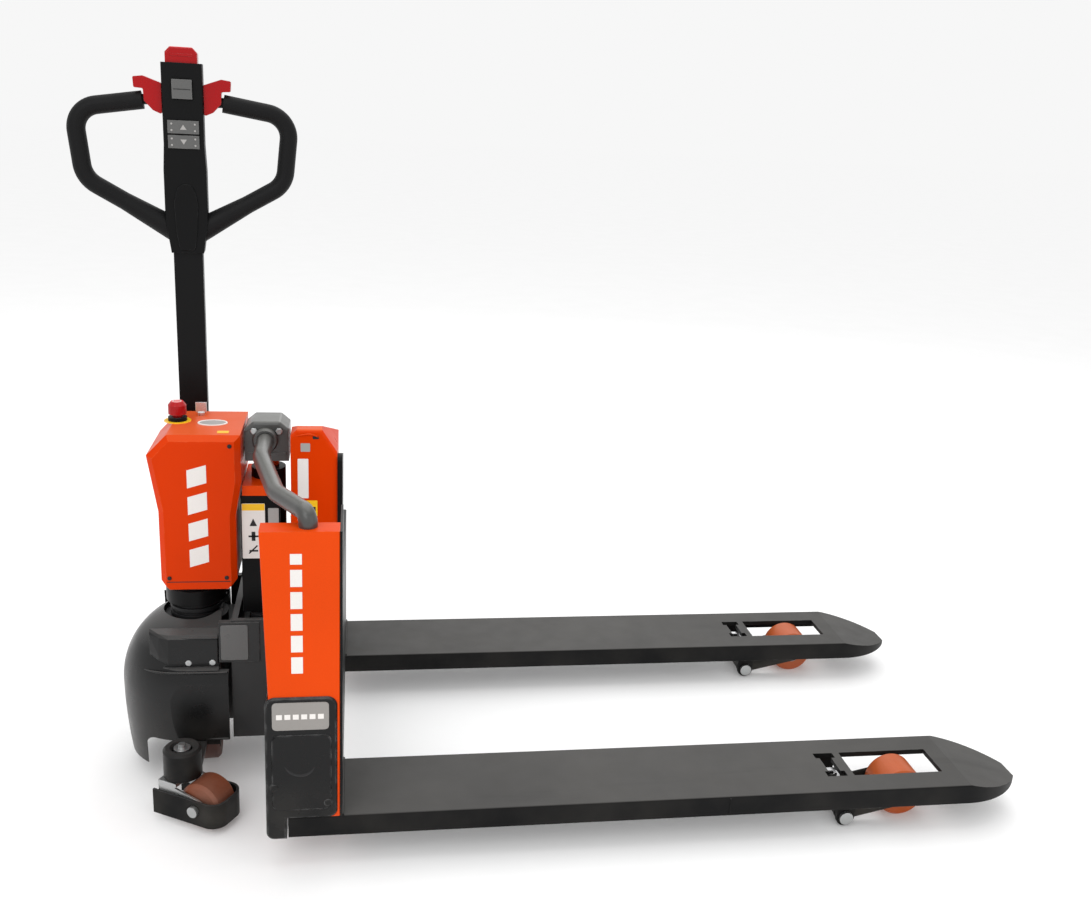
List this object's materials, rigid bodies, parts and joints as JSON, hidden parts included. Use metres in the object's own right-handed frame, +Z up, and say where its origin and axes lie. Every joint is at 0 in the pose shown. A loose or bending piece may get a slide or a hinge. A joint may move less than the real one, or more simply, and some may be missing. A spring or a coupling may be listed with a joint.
{
  "type": "electric pallet truck",
  "caption": "Electric pallet truck with lifting forks, powered steered wheel, upright tiller with grip loops, orange covers and stabiliser casters.",
  "frame": {"origin": "on the floor under the middle of the whole truck's box", "axes": "+X towards the fork tips, +Z up, +Y to the truck's left seen from the tiller end"},
  "size_m": [1.5829, 0.6964, 1.19],
  "materials": {
    "orange_paint": "satin powder coat",
    "fork_paint": "satin dark grey powder coat",
    "black_paint": "satin black",
    "frame_grey": "satin grey",
    "cast_grey": "painted casting",
    "dark_plastic": "moulded, fine grain",
    "orange_plastic": "moulded",
    "red_plastic": "moulded",
    "grey_plastic": "moulded",
    "grip_rubber": "soft grip",
    "roller_pu": "polyurethane",
    "tyre_pu": "polyurethane",
    "zinc": "zinc plated",
    "steel": "ground",
    "motor_black": "painted"
  },
  "bodies": {
    "drive_frame": {"chassis_frame": "frame_grey", "drive_fender": "dark_plastic", "fender_screws": "zinc", "slewing_ring": "motor_black", "lift_barrel": "black_paint", "pump_motor": "motor_black", "oil_tank": "motor_black", "power_cover": "orange_plastic", "controller_unit": "dark_plastic", "cover_shelf": "orange_paint", "column_cover": "dark_plastic", "estop_base": "dark_plastic", "caster_arm_right": "black_paint", "caster_arm_left": "black_paint"},
    "fork_frame": {"fork_right": "fork_paint", "fork_left": "fork_paint", "rocker_pins": "zinc", "upright_right": "orange_paint", "upright_left": "orange_paint", "heel_cover_right": "dark_plastic", "heel_cover_left": "dark_plastic", "back_plate": "black_paint", "battery_case": "orange_plastic", "lift_ram": "steel", "lift_head": "cast_grey", "lift_conduit": "cast_grey"},
    "torsion_shaft": {"torsion_shaft": "black_paint"},
    "push_rod_right": {"push_rod_right": "steel"},
    "push_rod_left": {"push_rod_left": "steel"},
    "rocker_right": {"rocker_right": "black_paint"},
    "rocker_left": {"rocker_left": "black_paint"},
    "load_roller_right": {"load_roller_right": "roller_pu"},
    "load_roller_left": {"load_roller_left": "roller_pu"},
    "steering_head": {"steering_neck": "motor_black", "tiller_bracket": "black_paint", "tiller_pin": "zinc", "gearbox_yoke": "motor_black", "traction_motor": "motor_black"},
    "drive_wheel": {"drive_tyre": "tyre_pu", "drive_hub": "cast_grey"},
    "tiller": {"tiller_shaft": "black_paint", "handle_housing": "dark_plastic", "grip_loop_right": "grip_rubber", "grip_loop_left": "grip_rubber"},
    "throttle": {"throttle_wing_right": "red_plastic", "throttle_wing_left": "red_plastic"},
    "reverse_button": {"reverse_button": "red_plastic"},
    "horn_button": {"horn_button": "grey_plastic"},
    "raise_button": {"raise_button": "grey_plastic"},
    "lower_button": {"lower_button": "grey_plastic"},
    "caster_right": {"caster_fork_right": "zinc", "caster_guard_right": "dark_plastic"},
    "caster_left": {"caster_fork_left": "zinc", "caster_guard_left": "dark_plastic"},
    "caster_wheel_right": {"caster_wheel_right": "roller_pu"},
    "caster_wheel_left": {"caster_wheel_left": "roller_pu"},
    "estop_button": {"estop_button": "red_plastic"},
    "ignition_key": {"ignition_key": "steel"}
  },
  "joints": [
    {"name": "fork_lift", "type": "slide", "parent": "drive_frame", "child": "fork_frame", "axis": [0, 0, 1], "range_m": [0, 0.115]},
    {"name": "torsion_turn", "type": "hinge", "parent": "fork_frame", "child": "torsion_shaft", "pos_m": [-0.4065, 0, 0.115], "axis": [0, -1, 0], "range_deg": [0, 55]},
    {"name": "rod_slide_right", "type": "slide", "parent": "fork_frame", "child": "push_rod_right", "axis": [1, 0, 0], "range_m": [0, 0.051]},
    {"name": "rocker_turn_right", "type": "hinge", "parent": "fork_frame", "child": "rocker_right", "pos_m": [0.4755, -0.2625, 0.018], "axis": [0, 1, 0], "range_deg": [0, 72]},
    {"name": "roller_spin_right", "type": "hinge", "parent": "rocker_right", "child": "load_roller_right", "pos_m": [0.5845, -0.2625, 0.042], "axis": [0, 1, 0], "continuous": true},
    {"name": "rod_slide_left", "type": "slide", "parent": "fork_frame", "child": "push_rod_left", "axis": [1, 0, 0], "range_m": [0, 0.051]},
    {"name": "rocker_turn_left", "type": "hinge", "parent": "fork_frame", "child": "rocker_left", "pos_m": [0.4755, 0.2625, 0.018], "axis": [0, 1, 0], "range_deg": [0, 72]},
    {"name": "roller_spin_left", "type": "hinge", "parent": "rocker_left", "child": "load_roller_left", "pos_m": [0.5845, 0.2625, 0.042], "axis": [0, 1, 0], "continuous": true},
    {"name": "steer", "type": "hinge", "parent": "drive_frame", "child": "steering_head", "pos_m": [-0.6025, 0, 0.26], "axis": [0, 0, 1], "range_deg": [0, 180]},
    {"name": "drive_spin", "type": "hinge", "parent": "steering_head", "child": "drive_wheel", "pos_m": [-0.6025, 0, 0.105], "axis": [0.9976, 0.0698, 0], "continuous": true},
    {"name": "tiller_fold", "type": "hinge", "parent": "steering_head", "child": "tiller", "pos_m": [-0.61101, 0.1217, 0.35], "axis": [-0.9976, -0.0698, 0], "range_deg": [0, 80], "stiffness_Nm_per_rad": 30, "springref_deg": -17.19},
    {"name": "throttle_turn", "type": "hinge", "parent": "tiller", "child": "throttle", "pos_m": [-0.61101, 0.1217, 1.108], "axis": [0.9976, 0.0698, 0], "range_deg": [-25, 25], "stiffness_Nm_per_rad": 0.6},
    {"name": "reverse_press", "type": "slide", "parent": "tiller", "child": "reverse_button", "axis": [0, 0, -1], "range_m": [0, 0.006], "stiffness_N_per_m": 800, "springref_m": -0.002},
    {"name": "horn_press", "type": "slide", "parent": "tiller", "child": "horn_button", "axis": [-0.0698, 0.9976, 0], "range_m": [0, 0.003], "stiffness_N_per_m": 600, "springref_m": -0.001},
    {"name": "raise_press", "type": "slide", "parent": "tiller", "child": "raise_button", "axis": [-0.0698, 0.9976, 0], "range_m": [0, 0.003], "stiffness_N_per_m": 600, "springref_m": -0.001},
    {"name": "lower_press", "type": "slide", "parent": "tiller", "child": "lower_button", "axis": [-0.0698, 0.9976, 0], "range_m": [0, 0.003], "stiffness_N_per_m": 600, "springref_m": -0.001},
    {"name": "caster_swivel_right", "type": "hinge", "parent": "drive_frame", "child": "caster_right", "pos_m": [-0.6075, -0.187, 0.09], "axis": [0, 0, 1], "continuous": true},
    {"name": "caster_spin_right", "type": "hinge", "parent": "caster_right", "child": "caster_wheel_right", "pos_m": [-0.56636, -0.21172, 0.0375], "axis": [0.515, 0.8572, 0], "continuous": true},
    {"name": "caster_swivel_left", "type": "hinge", "parent": "drive_frame", "child": "caster_left", "pos_m": [-0.6075, 0.187, 0.09], "axis": [0, 0, 1], "continuous": true},
    {"name": "caster_spin_left", "type": "hinge", "parent": "caster_left", "child": "caster_wheel_left", "pos_m": [-0.56636, 0.21172, 0.0375], "axis": [-0.515, 0.8572, 0], "continuous": true},
    {"name": "estop_press", "type": "slide", "parent": "drive_frame", "child": "estop_button", "axis": [0, 0, -1], "range_m": [0, 0.0045]},
    {"name": "key_turn", "type": "hinge", "parent": "drive_frame", "child": "ignition_key", "pos_m": [-0.5905, 0.048, 0.615], "axis": [0, 0, 1], "range_deg": [0, 90]}
  ],
  "couplings": [
    {"joint": "torsion_turn", "follows": "fork_lift", "rad_per_m": 8.2896},
    {"joint": "rod_slide_right", "follows": "fork_lift", "ratio": 0.44},
    {"joint": "rocker_turn_right", "follows": "fork_lift", "rad_per_m": 10.906},
    {"joint": "rod_slide_left", "follows": "fork_lift", "ratio": 0.44},
    {"joint": "rocker_turn_left", "follows": "fork_lift", "rad_per_m": 10.906}
  ]
}
